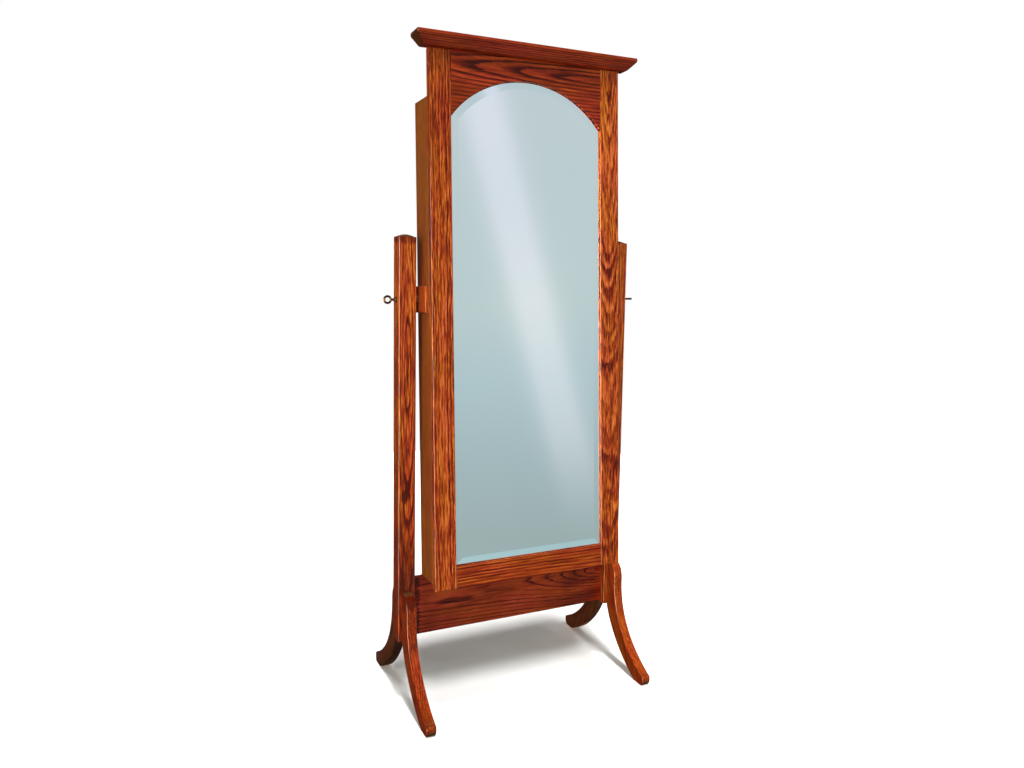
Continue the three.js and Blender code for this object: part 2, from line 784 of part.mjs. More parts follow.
// Butt hinge: the cabinet leaf has the outer knuckles, the door leaf the middle one
function leafGeometry(on_cabinet) {
  const face = on_cabinet ? hinge_y + leaf_half_gap : hinge_y - leaf_half_gap;
  const back = on_cabinet ? face + leaf_thickness : face - leaf_thickness;
  const half = leaf_height / 2;
  const seam = knuckle / 2;
  const plate = board(leaf_edge, hinge_x, face, back, -half, half);
  const spans = [[-half, -seam], [-seam, seam], [seam, half]];
  const own = spans.filter((_, i) => (i % 2 === 0) === on_cabinet);
  const other = spans.filter((_, i) => (i % 2 === 0) !== on_cabinet);
  const trim = fit_gap / 2;
  const inner_low = (z) => (z === -half ? z : z + trim);
  const inner_high = (z) => (z === half ? z : z - trim);
  const barrels = own.map(([a, b]) =>
    rodAlongZ(hinge_x, hinge_y, inner_low(a), inner_high(b), barrel_radius, sides.barrel),
  );
  const room = barrel_radius + barrel_clearance;
  const clears = other.map(([a, b]) => {
    const low = a === -half ? a - cut_over : a - trim;
    const high = b === half ? b + cut_over : b + trim;
    return rodAlongZ(hinge_x, hinge_y, low, high, room, sides.barrel);
  });
  const reach = half + cut_over;
  const bore = rodAlongZ(hinge_x, hinge_y, -reach, reach, hinge_pin_radius + fit_gap, sides.pin);
  return cut(join(cut(plate, ...clears), ...barrels), bore);
}

function hingePinGeometry() {
  const half = leaf_height / 2 + fit_gap;
  const end = half + hinge_head_height;
  const core = (half + end) / 2;
  const pin = rodAlongZ(hinge_x, hinge_y, -core, core, hinge_pin_radius, sides.pin);
  const upper = rodAlongZ(hinge_x, hinge_y, half, end, hinge_head_radius, sides.pin);
  const lower = rodAlongZ(hinge_x, hinge_y, -end, -half, hinge_head_radius, sides.pin);
  return join(pin, upper, lower);
}

for (const [level, z] of hinge_places) {
  const door_leaf = part(`${level}_hinge_door_leaf`, leafGeometry(false), "bright_brass");
  const cabinet_leaf = part(`${level}_hinge_cabinet_leaf`, leafGeometry(true), "bright_brass");
  const pin = part(`${level}_hinge_pin`, hingePinGeometry(), "bright_brass");
  for (const piece of [door_leaf, cabinet_leaf, pin]) piece.position.z = z;
  door.add(door_leaf);
  cabinet.add(cabinet_leaf, pin);
}

// Magnetic catch inside the left side, and the plate that it holds
const strike_back = door_back + fit_gap + strike_thickness;
const strike_middle = -(half_inside - fit_gap - catch_width / 2);

function catchGeometry() {
  const front = strike_back + fit_gap;
  const wall = -half_inside + fit_gap;
  const half = catch_height / 2;
  const low = catch_above_pivot - half;
  return board(wall, wall + catch_width, front, front + catch_depth, low, low + catch_height);
}

function strikeGeometry() {
  const half = strike_height / 2;
  const near = strike_middle - strike_width / 2;
  const low = catch_above_pivot - half;
  const face = door_back + fit_gap;
  return board(near, near + strike_width, face, strike_back, low, low + strike_height);
}

cabinet.add(part("magnetic_catch", catchGeometry(), "magnet_case"));
door.add(part("strike_plate", strikeGeometry(), "steel"));

export default mirror_cabinet;
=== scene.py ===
import json
import math

import bmesh
import bpy
from mathutils import Matrix, Vector
from mathutils.geometry import interpolate_bezier


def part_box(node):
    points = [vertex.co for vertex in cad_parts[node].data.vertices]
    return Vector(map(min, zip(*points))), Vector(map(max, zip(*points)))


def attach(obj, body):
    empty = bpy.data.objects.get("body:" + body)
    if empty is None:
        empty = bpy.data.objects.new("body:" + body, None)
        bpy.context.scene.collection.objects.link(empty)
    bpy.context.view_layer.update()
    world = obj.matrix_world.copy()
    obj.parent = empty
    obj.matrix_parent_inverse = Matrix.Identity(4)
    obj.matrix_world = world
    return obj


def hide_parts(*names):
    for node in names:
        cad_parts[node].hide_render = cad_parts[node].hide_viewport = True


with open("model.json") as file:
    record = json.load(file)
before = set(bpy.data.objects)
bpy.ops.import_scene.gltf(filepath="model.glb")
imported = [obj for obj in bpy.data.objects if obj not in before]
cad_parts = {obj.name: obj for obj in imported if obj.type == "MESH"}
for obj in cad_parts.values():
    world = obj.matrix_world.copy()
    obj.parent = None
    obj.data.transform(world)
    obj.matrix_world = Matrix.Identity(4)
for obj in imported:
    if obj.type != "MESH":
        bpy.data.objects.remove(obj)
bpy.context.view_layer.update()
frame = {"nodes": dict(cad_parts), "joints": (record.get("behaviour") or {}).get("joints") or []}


# Camera: stands to the left of the mirror and a little above its pivots, so that the left faces
# of the posts and of the cabinet show. It is rolled by about a degree, as the photograph is.
camera_place = (-1.0299, -2.3093, 1.2558)
camera_heading, camera_pitch, camera_roll = (math.radians(a) for a in (27.84, -6.30, 1.386))
camera_lens, camera_shift = 31.003, (-0.06006, -0.03325)

camera = bpy.data.objects.new("camera", bpy.data.cameras.new("camera"))
bpy.context.scene.collection.objects.link(camera)
bpy.context.scene.camera = camera
camera.data.lens = camera_lens
camera.data.shift_x, camera.data.shift_y = camera_shift
camera.matrix_world = (
    Matrix.Translation(camera_place)
    @ Matrix.Rotation(-camera_heading, 4, "Z")
    @ Matrix.Rotation(math.pi / 2 + camera_pitch, 4, "X")
    @ Matrix.Rotation(camera_roll, 4, "Z")
)


# Posts: two square sticks of stained oak, their arrises eased and their tops domed both ways. Each
# is one length of plain-sawn oak, so its front shows tall pointed arches of grain.
post_dome = 0.007
post_ease, post_ease_steps = 0.0034, 6
dome_ease = 0.0008
dome_slices = 8  # from the middle of the top to each edge
post_middle = 1.1  # height that the grain is placed from
weld = 1e-6  # corners closer than this are one
crisp_turn = math.radians(35)  # faces that turn by more meet at a crisp edge


class Value:
    """A number or colour that changes over a surface; a sum or product of it adds Math nodes."""

    def __init__(self, finish, socket):
        self.finish, self.socket = finish, socket

    def math(self, operation, *values):
        return self.finish.add("Math", {"operation": operation}, dict(enumerate(values)))

    def __add__(self, other):
        return self.math("ADD", self, other)

    def __sub__(self, other):
        return self.math("SUBTRACT", self, other)

    def __rsub__(self, other):
        return self.math("SUBTRACT", other, self)

    def __mul__(self, other):
        return self.math("MULTIPLY", self, other)

    def __truediv__(self, other):
        return self.math("DIVIDE", self, other)

    def __rtruediv__(self, other):
        return self.math("DIVIDE", other, self)

    def __pow__(self, other):
        return self.math("POWER", self, other)

    __radd__, __rmul__ = __add__, __mul__

    def __abs__(self):
        return self.math("ABSOLUTE", self)

    def steps(self):
        return self.math("FLOOR", self)

    def between(self, low, high):
        """0 up to low, 1 from high on, and a smooth rise between them."""
        settings = {"interpolation_type": "SMOOTHSTEP"}
        ends = {"From Min": low, "From Max": high}
        return self.finish.add("MapRange", settings, {"Value": self, **ends})


class Finish:
    """A material, with one way to add any node to it."""

    def __init__(self, name, tree=None, **sockets):
        if tree is None:
            self.material = bpy.data.materials.new(name)
            self.material.use_nodes = True
            tree = self.material.node_tree
        self.tree = tree
        for socket, value in sockets.items():
            self.set(socket.replace("_", " "), value)

    def add(self, kind, settings, sockets, output=0):
        node = self.tree.nodes.new("ShaderNode" + kind)
        settings = dict(settings)
        stops = settings.pop("stops", [])
        for name, value in settings.items():
            setattr(node, name, value)
        for index, (place, colour) in enumerate(stops):
            ramp = node.color_ramp.elements
            stop = ramp[index] if index < 2 else ramp.new(place)
            stop.position, stop.color = place, colour
        for name, value in sockets.items():
            self.feed(node.inputs[name], value)
        return Value(self, node.outputs[output])

    def feed(self, socket, value):
        if isinstance(value, Value):
            self.tree.links.new(value.socket, socket)
        else:
            socket.default_value = value

    def set(self, name, value):
        self.feed(self.tree.nodes["Principled BSDF"].inputs[name], value)

    def placed(self, place=(0, 0, 0), turn=(0, 0, 0), what="Object"):
        """The surface's own coordinates or normal, read in a frame at that place and turn."""
        own = self.add("TexCoord", {}, {}, what)
        settings = {"vector_type": "TEXTURE"}
        return self.add("Mapping", settings, {"Vector": own, "Location": place, "Rotation": turn})

    def parts(self, vector):
        split = self.add("SeparateXYZ", {}, {"Vector": vector})
        return [Value(self, part) for part in split.socket.node.outputs]

    def stretch(self, vector, factors, shift=(0, 0, 0)):
        settings = {"operation": "MULTIPLY_ADD"}
        return self.add("VectorMath", settings, {0: vector, 1: factors, 2: shift})

    def noise(self, vector, detail=2.0, roughness=0.5, distortion=0.0):
        """Smooth noise with one bump a unit, centred on nought."""
        sockets = {"Vector": vector, "Scale": 1.0, "Detail": detail, "Roughness": roughness}
        return self.add("TexNoise", {}, {**sockets, "Distortion": distortion}) - 0.5

    def mix(self, share, first, second, how="MIX"):
        settings = {"data_type": "RGBA", "blend_type": how}
        return self.add("Mix", settings, {0: share, 6: first, 7: second}, 2)

    def bump(self, height, depth):
        self.set("Normal", self.add("Bump", {}, {"Height": height, "Distance": depth}))


def shade(red, green, blue):
    """A colour from 0 to 255 as the eye reads it, as the linear numbers that a shader wants."""
    return (*(((c / 255 + 0.055) / 1.055) ** 2.4 for c in (red, green, blue)), 1.0)


stain = [
    (0.0, shade(66, 16, 3)), (0.22, shade(98, 29, 6)), (0.45, shade(132, 52, 13)),
    (0.7, shade(164, 78, 25)), (1.0, shade(192, 109, 48)),
]
end_grain = [(0.3, shade(44, 23, 12)), (0.7, shade(84, 50, 28))]
orange_tint, purple_tint = (1.03, 1.12, 0.78, 1), (0.97, 0.76, 1.15, 1)


def oak(
    name, place, turn, pith, pitch, slope=0.0, tone=0.6, contrast=1.0, wave=1.0, band=0.9,
    stroke=20, streaks=1.0, fade=0.0, ends=(0.5, 0.8), colours=stain, swells=(), dark_grain_and_shade=(), seed=0.0,
):
    """Stained, open-pored oak under gloss lacquer, cut out of a log.

    The board's frame has X across it, Y into it and Z along the grain. pith is how far across and
    how far behind the board's middle the log's centre lies, slope how fast it comes nearer along
    the grain, so that the rings run out in pointed arches. band is the dark share of a ring.
    stroke counts the short streaks to the metre and streaks is their strength. fade is how much
    paler a metre higher is, and ends how squarely a face must cut the grain to turn dark. A swell
    (across, along, half width, half length, height) lifts the rings, and a mark with the same
    numbers darkens a patch: some marks are dark figure in the grain, some are painted shade.
    """
    wood = Finish(
        name, Roughness=0.32, Specular_IOR_Level=0.05, Coat_Weight=0.15, Coat_Roughness=0.12,
    )
    at = wood.placed(place, turn)
    across, into, along = wood.parts(at)
    shift = (seed, seed * 2.3, seed * 1.7)
    back = shift[::-1]
    wander = wood.noise(wood.stretch(at, (9, 9, 3.2), shift), 3)
    sway = wood.noise(wood.stretch(at, (6, 6, 2.4), back), 2)
    ripple = wood.noise(wood.stretch(at, (75, 75, 11), back), 2)
    ragged = wood.noise(wood.stretch(at, (260, 260, 24), shift), 3, 0.6)
    strand = wood.noise(wood.stretch(at, (280, 280, stroke), shift), 3, 0.6, 0.2)
    strand = strand.between(-0.08, 0.08)
    hair = wood.noise(wood.stretch(at, (500, 500, stroke * 1.6), back), 2).between(-0.08, 0.08)
    patch = wood.noise(wood.stretch(at, (48, 48, 9), back), 3, 0.6)
    blotch = wood.noise(wood.stretch(at, (15, 15, 5), back), 3)
    fibre = wood.noise(wood.stretch(at, (420, 420, 17), shift), 4, 0.65)
    du = across - pith[0] + wander * (0.02 * wave)
    dn = into + along * slope + pith[1] + sway * (0.04 * wave)
    grain_and_shade_darkening = 0.0
    for x, z, half_width, half_length, height in swells:
        out = ((across - x) / half_width) ** 2 + ((along - z) / half_length) ** 2
        dn = dn + height / (1 + out)
    # Patches darken the wood: some are dark figure in the grain, some are painted shade.
    for x, z, half_width, half_length, depth in dark_grain_and_shade:
        out = ((across - x) / half_width) ** 2 + ((along - z) / half_length) ** 2
        grain_and_shade_darkening = grain_and_shade_darkening + (out + ragged * 2.4 + patch).between(1.3, 0.5) * depth
    rings = (du * du + dn * dn) ** 0.5 / pitch
    rings = rings + ripple * (0.6 * wave) + ragged * (0.25 + 0.45 * wave)
    ring = rings.steps()
    phase = rings - ring
    weight = wood.add("TexWhiteNoise", {"noise_dimensions": "1D"}, {"W": ring + seed})
    early = phase.between(0, 0.12) * phase.between(band, band * 0.25) * (0.3 + 0.7 * weight)
    pores = wood.noise(wood.stretch(at, (900, 900, 42), shift), 2).between(0.04, 0.2)
    dark = early * (0.5 + blotch + patch) * contrast + grain_and_shade_darkening
    light = fibre * 0.5 + patch * 0.6 + blotch * 0.5
    light = light + (strand * 0.34 + hair * 0.3 - 0.32) * streaks
    level = along * fade + tone - dark - pores * (0.06 + early * 0.14)
    level = level + light * (0.3 + 0.7 * contrast)
    colour = wood.add("ValToRGB", {"stops": colours}, {"Fac": level})
    hue = wood.noise(wood.stretch(at, (34, 34, 6), back), 3).between(-0.16, 0.16)
    colour = wood.mix(1.0, colour, wood.mix(hue, orange_tint, purple_tint), "MULTIPLY")
    sawn = abs(wood.parts(wood.placed(turn=turn, what="Normal"))[2]).between(*ends)
    pale_ends = wood.add("ValToRGB", {"stops": end_grain}, {"Fac": patch + 0.5})
    wood.set("Base Color", wood.mix(sawn * 0.9, colour, pale_ends))
    wood.bump(fibre * 0.2 - early * 0.3 - pores, 0.00012)
    return wood


def block(low, high):
    """A block between two corners."""
    bm = bmesh.new()
    low, high = Vector(low), Vector(high)
    place = Matrix.LocRotScale((low + high) / 2, None, high - low)
    bmesh.ops.create_cube(bm, size=1, matrix=place)
    return bm


def ease(bm, radius, segments=4, sharper=0.35):
    """Rounds every outer arris whose faces turn by more than that angle."""
    bmesh.ops.remove_doubles(bm, verts=bm.verts, dist=weld)
    bmesh.ops.recalc_face_normals(bm, faces=bm.faces)
    outer = [e for e in bm.edges if e.is_manifold and e.is_convex]
    arrises = [e for e in outer if e.calc_face_angle() > sharper]
    bmesh.ops.bevel(
        bm, geom=arrises, offset=radius, segments=segments,
        profile=0.5, affect="EDGES", material=-1, clamp_overlap=True,
    )


def piece(name, bm, finish, body, slot, *nodes):
    """A finished mesh that stands for its CAD nodes and moves with their body."""
    bmesh.ops.remove_doubles(bm, verts=bm.verts, dist=weld)
    bmesh.ops.recalc_face_normals(bm, faces=bm.faces)
    mesh = bpy.data.meshes.new(name)
    bm.to_mesh(mesh)
    bm.free()
    mesh.shade_smooth()
    mesh.set_sharp_from_angle(angle=crisp_turn)
    mesh.materials.append(finish.material)
    made = bpy.data.objects.new(name, mesh)
    bpy.context.scene.collection.objects.link(made)
    flats = made.modifiers.new("flats", "WEIGHTED_NORMAL")
    flats.keep_sharp = True
    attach(made, body)
    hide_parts(*nodes)
    return made


golden_stain = [
    (0.0, shade(60, 19, 8)), (0.22, shade(92, 29, 12)), (0.45, shade(126, 46, 17)),
    (0.7, shade(160, 74, 25)), (1.0, shade(198, 116, 46)),
]
post_figures = {
    "left": dict(
        pith=(0.001, 0.0187), slope=-0.057, pitch=0.0065, tone=0.70, contrast=1.35, wave=0.5,
        band=0.6, stroke=16, streaks=0.7, fade=0.35, ends=(0.25, 0.5), colours=golden_stain,
        dark_grain_and_shade=[
            (0, -0.85, 0.08, 0.25, 0.1), (0, 0.2, 0.08, 0.03, 0.4),
            (-0.004, -0.516, 0.012, 0.02, 0.5),
        ],
        seed=3.1,
    ),
    "right": dict(
        pith=(0.03, 0.03), pitch=0.006, tone=0.66, streaks=0.7, fade=0.1, ends=(0.25, 0.5),
        seed=8.4,
    ),
}
for side in ("left", "right"):
    low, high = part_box(f"{side}_post")
    bm = block(low, high)
    upright = [e for e in bm.edges if abs(e.verts[0].co.z - e.verts[1].co.z) > post_dome]
    bmesh.ops.bevel(
        bm, geom=upright, offset=post_ease, segments=post_ease_steps,
        profile=0.5, affect="EDGES", material=-1,
    )
    centre, half = (low + high) / 2, (high - low) / 2
    for slice_at in range(1 - dome_slices, dome_slices):
        for across in (Vector((1, 0, 0)), Vector((0, 1, 0))):
            bmesh.ops.bisect_plane(
                bm, geom=[*bm.verts, *bm.edges, *bm.faces], plane_no=across,
                plane_co=centre + across * half.dot(across) * slice_at / dome_slices,
            )
    for vert in bm.verts:
        if vert.co.z > high.z - post_dome:
            sideways, forward = (vert.co.x - centre.x) / half.x, (vert.co.y - centre.y) / half.y
            vert.co.z -= post_dome * (1 - (1 - sideways ** 2) * (1 - forward ** 2))
    ease(bm, dome_ease, 2)
    place = (centre.x, 0, post_middle)
    figure = oak(f"{side} post oak", place, (0, 0, 0), **post_figures[side])
    piece(f"{side}_post_stick", bm, figure, "stand", "oak", f"{side}_post")


# Legs: four sabre legs sawn from thick oak, dowelled to the fronts and backs of the posts. Each
# stands plumb below its shoulder, then sweeps out to a toe with a flat sole.
leg_depth = 0.047
leg_top = 0.313
leg_shoulder = 0.273
leg_plumb_end = 0.255
toe_height, toe_tip_height = 0.031, 0.019
toe_nose, toe_round, sole_length = 0.010, 0.017, 0.029
outer_shares = [(0.24, 0.27), (0, 0.64)]
under_shares = [(0.11, 0.68), (0.48, 0.235)]
shoulder_share = 0.86
curve_steps = 24
grain_middle, grain_height, grain_turn = 0.1, 0.15, math.radians(28)
fit_gap = 0.0003


def pull(bm, face, step):
    """Pulls a face out by a step and returns the new face."""
    pulled = bmesh.ops.extrude_face_region(bm, geom=[face])["geom"]
    moved = [item for item in pulled if isinstance(item, bmesh.types.BMVert)]
    bmesh.ops.translate(bm, verts=moved, vec=step)
    return next(item for item in pulled if isinstance(item, bmesh.types.BMFace))


def bounded_board(spans, low, high):
    """A board along X from an outline in Y and Z, whose spans are (start, handle, handle, end)."""
    bm = bmesh.new()
    outline = []
    for span in spans:
        points = [Vector((low, y, z)) for y, z in span]
        outline += interpolate_bezier(*points, curve_steps)[:-1] if len(points) == 4 else points[:1]
    pull(bm, bm.faces.new([bm.verts.new(point) for point in outline]), (high - low, 0, 0))
    return bm


def quadratic(start, handle, end):
    """A span with one handle, written with two."""
    near = tuple(a + (h - a) * 2 / 3 for a, h in zip(start, handle))
    far = tuple(b + (h - b) * 2 / 3 for b, h in zip(end, handle))
    return start, near, far, end


def leg_spans(foot_rise, face, reach, outward):
    """The leg's outline from its underside at the post, round the toe and up to its top."""
    out = reach - face
    sole_front, toe_edge = out - toe_round, out - toe_nose
    sole_back = sole_front - sole_length
    swept, fall = toe_edge - leg_depth, leg_plumb_end - toe_height
    under = [(u * sole_back, v * foot_rise) for u, v in under_shares]
    outer = [(leg_depth + u * swept, toe_height + v * fall) for u, v in outer_shares]
    plumb_end, shoulder = (leg_depth, leg_plumb_end), (leg_depth, leg_shoulder)
    spans = [
        ((fit_gap, foot_rise), *under, (sole_back, 0)),
        ((sole_back, 0), (sole_front, 0)),
        quadratic((sole_front, 0), (out, 0), (out, toe_tip_height)),
        quadratic((out, toe_tip_height), (out, toe_height), (toe_edge, toe_height)),
        ((toe_edge, toe_height), *outer, plumb_end),
        (plumb_end, shoulder),
        quadratic(shoulder, (shoulder_share * leg_depth, leg_top), (fit_gap, leg_top)),
        ((fit_gap, leg_top), (fit_gap, foot_rise)),
    ]
    return [[(outward * (face + u), v) for u, v in span] for span in spans]


# Painted shade: darker tones for the back legs, for the shade they stand in.
painted_shade_tones = [(0.0, shade(42, 22, 10)), (0.5, shade(92, 46, 20)), (1.0, shade(132, 70, 32))]
leg_figures = {
    # The left front leg's patch darkens its top, partly as dark end grain and partly as painted
    # shade under the cabinet.
    "left_front": dict(
        pith=(0.05, 0.04), tone=0.38, ends=(0.5, 0.7), dark_grain_and_shade=[(0, 0.178, 0.06, 0.05, 1.3)],
        seed=1.7,
    ),
    "right_front": dict(pith=(0.05, 0.03), tone=0.5, seed=5.2),
    # The back legs are darkened with painted shade, by these tones and a lower tone.
    "left_back": dict(pith=(0.06, 0.03), tone=0.1, colours=painted_shade_tones, seed=6.9),
    "right_back": dict(pith=(0.05, 0.04), tone=0.45, colours=painted_shade_tones, seed=9.3),
}
for side in ("left", "right"):
    for end, outward in (("front", -1), ("back", 1)):
        low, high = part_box(f"{side}_{end}_leg")
        post_low, post_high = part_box(f"{side}_post")
        reach = max(abs(low.y), abs(high.y))
        bm = bounded_board(leg_spans(post_low.z, post_high.y, reach, outward), low.x, high.x)
        ease(bm, post_ease)
        place = ((low.x + high.x) / 2, outward * grain_middle, grain_height)
        turn = (outward * grain_turn, 0, 0)
        figure = oak(
            f"{side} {end} leg oak", place, turn, pitch=0.006, contrast=0.5, stroke=14,
            **leg_figures[f"{side}_{end}"],
        )
        piece(f"{side}_{end}_sabre_leg", bm, figure, "stand", "oak", f"{side}_{end}_leg")


# Dowels: two beech pegs in each leg joint, fluted by the cutter that turned them. They are
# hidden once the leg is glued on.
def mottled(name, grain, detail, tones, uneven=0.5, place=(0, 0, 0), turn=(0, 0, 0), **sockets):
    """A finish that wanders between tones in patches of that many to the metre, and the patches."""
    finish = Finish(name, **sockets)
    patches = finish.noise(finish.stretch(finish.placed(place, turn), grain), detail, uneven)
    finish.set("Base Color", finish.add("ValToRGB", {"stops": tones}, {"Fac": patches + 0.5}))
    return finish, patches


beech_tones = [(0.3, shade(170, 122, 78)), (0.7, shade(205, 164, 118))]
beech, flecks = mottled("beech", (900, 90, 900), 2, beech_tones, Roughness=0.6)
beech.bump(flecks, 0.0001)


def dress(finish, slot, *names):
    """CAD nodes that keep their shape and get a finish."""
    for name in names:
        node = frame["nodes"][name]
        node.data.materials.clear()
        node.data.materials.append(finish.material)


for side in ("left", "right"):
    for end in ("front", "back"):
        dress(beech, "beech", *(f"{side}_{end}_leg_{level}_dowel" for level in ("lower", "upper")))


# Stretcher: one wide oak board between the posts, with a stub tenon in each. Its grain runs
# across, with a dark eye near the left post and a swirl near the right one.
stretcher_ease = 0.0012
red_stain = [
    (0.0, shade(52, 14, 4)), (0.22, shade(84, 25, 8)), (0.45, shade(116, 38, 14)),
    (0.7, shade(150, 57, 24)), (1.0, shade(178, 80, 36)),
]
low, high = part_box("stretcher")
span = (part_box("left_post")[1].x + fit_gap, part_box("right_post")[0].x - fit_gap)
bm = block((span[0], low.y, low.z), (span[1], high.y, high.z))
ease(bm, stretcher_ease)
figure = oak(
    "stretcher oak", (0, 0, (low.z + high.z) / 2), (0, math.radians(90), 0),
    pith=(-0.022, 0.0845), pitch=0.0085, tone=0.68, contrast=1.4, wave=0.3, band=0.4,
    stroke=8, streaks=0.2, colours=red_stain, seed=4.4, swells=[(-0.022, 0.33, 1.0, 0.2, -0.07)],
    # The first patch is the dark eye; the second and third are painted shade at the right and left
    # ends, where the legs and posts shade the board.
    dark_grain_and_shade=[
        (0.0016, -0.179, 0.009, 0.065, 0.5), (0, 0.29, 0.2, 0.13, 0.2), (0, -0.303, 0.2, 0.02, 0.5),
    ],
)
piece("stretcher_board", bm, figure, "stand", "dark_oak", "stretcher")


# Cabinet case: two oak sides, a top and a bottom, rabbeted for a thin back panel. It hangs
# leaning back by the angle that the door's hinge line has, from pivots at mid height.
joints = {joint["name"]: joint for joint in frame["joints"]}
pivot = Vector(joints["tilt"]["pos_m"])
hinge_line = Vector(joints["door_swing"]["axis"])
lean = math.atan2(hinge_line.y, hinge_line.z)
hang = Matrix.Translation(pivot) @ Matrix.Rotation(-lean, 4, "X")
case_ease = 0.0006
flat_turn = 0.01  # faces that turn by less are one
olive_stain = [
    (0.0, shade(80, 37, 10)), (0.5, shade(132, 71, 26)), (1.0, shade(162, 95, 42)),
]


def upright_box(node):
    """A node's corners in the cabinet's own upright frame, measured from its pivots."""
    points = [hang.inverted() @ vert.co for vert in frame["nodes"][node].data.vertices]
    return tuple(Vector([pick(p[i] for p in points) for i in range(3)]) for pick in (min, max))


def merged_copy(node, radius=0.0):
    """A CAD node's shape with its triangles merged, and its arrises eased if a radius is given."""
    bm = bmesh.new()
    bm.from_mesh(frame["nodes"][node].data)
    bmesh.ops.remove_doubles(bm, verts=bm.verts, dist=weld)
    bmesh.ops.dissolve_limit(bm, angle_limit=flat_turn, verts=bm.verts, edges=bm.edges)
    if radius:
        ease(bm, radius, segments=2, sharper=0.8)
    return bm


def hung_oak(name, place, turn=0.0, **figure):
    """Oak for a board of the leaning cabinet, placed and turned in the cabinet's upright frame."""
    upright = Matrix.LocRotScale(Vector(place), Matrix.Rotation(turn, 3, "Y"), None)
    loc, rot, _ = (hang @ upright).decompose()
    return oak(name, loc, rot.to_euler(), **figure)


lying = math.radians(90)
case_figures = {
    "cabinet_left_side": dict(pith=(0.05, 0.05), tone=0.5, contrast=0.3, seed=2.2),
    "cabinet_right_side": dict(pith=(0.04, 0.06), tone=0.5, contrast=0.3, seed=7.7),
    "cabinet_top": dict(turn=lying, pith=(0.02, 0.04), tone=0.45, seed=1.3),
    "cabinet_bottom": dict(turn=lying, pith=(0.02, 0.04), tone=0.45, seed=2.9),
    "cabinet_back": dict(pith=(0.06, 0.05), slope=0.03, tone=0.45, seed=6.1),
}
for node, figure in case_figures.items():
    low, high = upright_box(node)
    name = node.replace("_", " ") + " oak"
    finish = hung_oak(name, (low + high) / 2, pitch=0.009, colours=olive_stain, **figure)
    piece(f"{node}_board", merged_copy(node, case_ease), finish, "cabinet", "shaded_oak", node)


# Lining: a thin panel wrapped in dark velvet, pressed in between the sides so that it hides the
# bare wood of the back panel.
velvet = Finish("velvet", Roughness=0.95, Sheen_Weight=0.6, Sheen_Roughness=0.4)
at = velvet.placed()
nap = velvet.noise(velvet.stretch(at, (14, 14, 9)), 3)
pile = velvet.noise(velvet.stretch(at, (1400, 1400, 1400)), 1)
velvet_tones = [(0.3, shade(36, 10, 16)), (0.7, shade(72, 22, 32))]
shading = nap + pile * 0.5 + 0.5
velvet.set("Base Color", velvet.add("ValToRGB", {"stops": velvet_tones}, {"Fac": shading}))
velvet.bump(pile, 0.0004)
dress(velvet, "velvet", "lining_panel")


# Shelves: three thin oak boards set between the sides, each with a lip along its front edge that
# keeps small things from sliding off when the cabinet is tilted.
for index, node in enumerate(("lower_shelf", "middle_shelf", "upper_shelf")):
    low, high = upright_box(node)
    finish = hung_oak(
        node.replace("_", " ") + " oak", (low + high) / 2, lying,
        pith=(0.03, 0.05), slope=0.02, pitch=0.009, tone=0.5, contrast=0.6, seed=3.3 + index,
    )
    piece(f"{node}_board", merged_copy(node), finish, "cabinet", "shaded_oak", node)


# Necklace rail: an oak strip across the cabinet under its top, glued to the sides. Four polished
# brass cup hooks are screwed into its front.
brass_tones = [(0.35, shade(158, 118, 60)), (0.65, shade(194, 156, 88))]
bright_brass, tarnish = mottled("bright brass", (160, 160, 160), 3, brass_tones, Metallic=1.0)
bright_brass.set("Roughness", 0.24 + tarnish * 0.2)

node = "necklace_rail"
low, high = upright_box(node)
finish = hung_oak(
    "necklace rail oak", (low + high) / 2, lying,
    pith=(0.01, 0.06), slope=0.01, pitch=0.009, tone=0.5, contrast=0.6, seed=8.8,
)
piece(f"{node}_strip", merged_copy(node), finish, "cabinet", "shaded_oak", node)
for number in range(1, 5):
    node = f"necklace_hook_{number}"
    piece(f"{node}_wire", merged_copy(node), bright_brass, "cabinet", "bright_brass", node)


# Pivots: an eased oak block is glued to each cabinet side and bored for a brass insert. A fibre
# spacer turns between the block and the post.
block_ease = 0.0016
for side in ("left", "right"):
    node = f"{side}_pivot_block"
    low, high = upright_box(node)
    bm = block(low, high)
    ease(bm, block_ease)
    bmesh.ops.transform(bm, matrix=hang, verts=bm.verts)
    finish = hung_oak(
        f"{side} pivot block oak", (low + high) / 2,
        pith=(0.02, 0.05), slope=0.05, pitch=0.008, tone=0.66, contrast=0.6, streaks=1.4,
        seed=len(side),
    )
    piece(f"{node}_wood", bm, finish, "cabinet", "dark_oak", node)

fibre_tones = [(0.3, shade(52, 26, 16)), (0.7, shade(84, 46, 28))]
fibre, _ = mottled("fibre", (900, 900, 900), 2, fibre_tones, Roughness=0.7)
for side in ("left", "right"):
    node = f"{side}_pivot_spacer"
    piece(f"{side}_spacer_ring", merged_copy(node), fibre, "cabinet", "fibre", node)
    node = f"{side}_threaded_insert"
    piece(f"{side}_insert_sleeve", merged_copy(node), bright_brass, "cabinet", "bright_brass", node)


# Door frame: two stiles that run full height and two rails tenoned between them. The upper rail
# is sawn to an arch on its lower edge, and a rebate behind the sight edge holds the glass.
frame_ease = 0.0036
rail_ease = 0.0010
sight_depth = 0.005
glass_lap, glass_rebate = 0.008, 0.0083
arch_rise = 0.112
arch_steps = 72
bottom_rail_height = 0.062
same_place = 1e-5  # places closer than this count as one
left_low, left_high = upright_box("door_left_stile")
right_low, right_high = upright_box("door_right_stile")
half_door, half_sight = right_high.x, right_low.x
door_front, door_back = left_low.y, left_high.y
door_low, door_top = left_low.z, left_high.z
glass_face = door_front + sight_depth
sight_low = door_low + bottom_rail_height
arch_radius = (half_sight**2 + arch_rise**2) / (2 * arch_rise)


def section_bar(section, step):
    """A bar with that section, pulled out along the step."""
    bm = bmesh.new()
    pull(bm, bm.faces.new([bm.verts.new(point) for point in section]), step)
    return bm


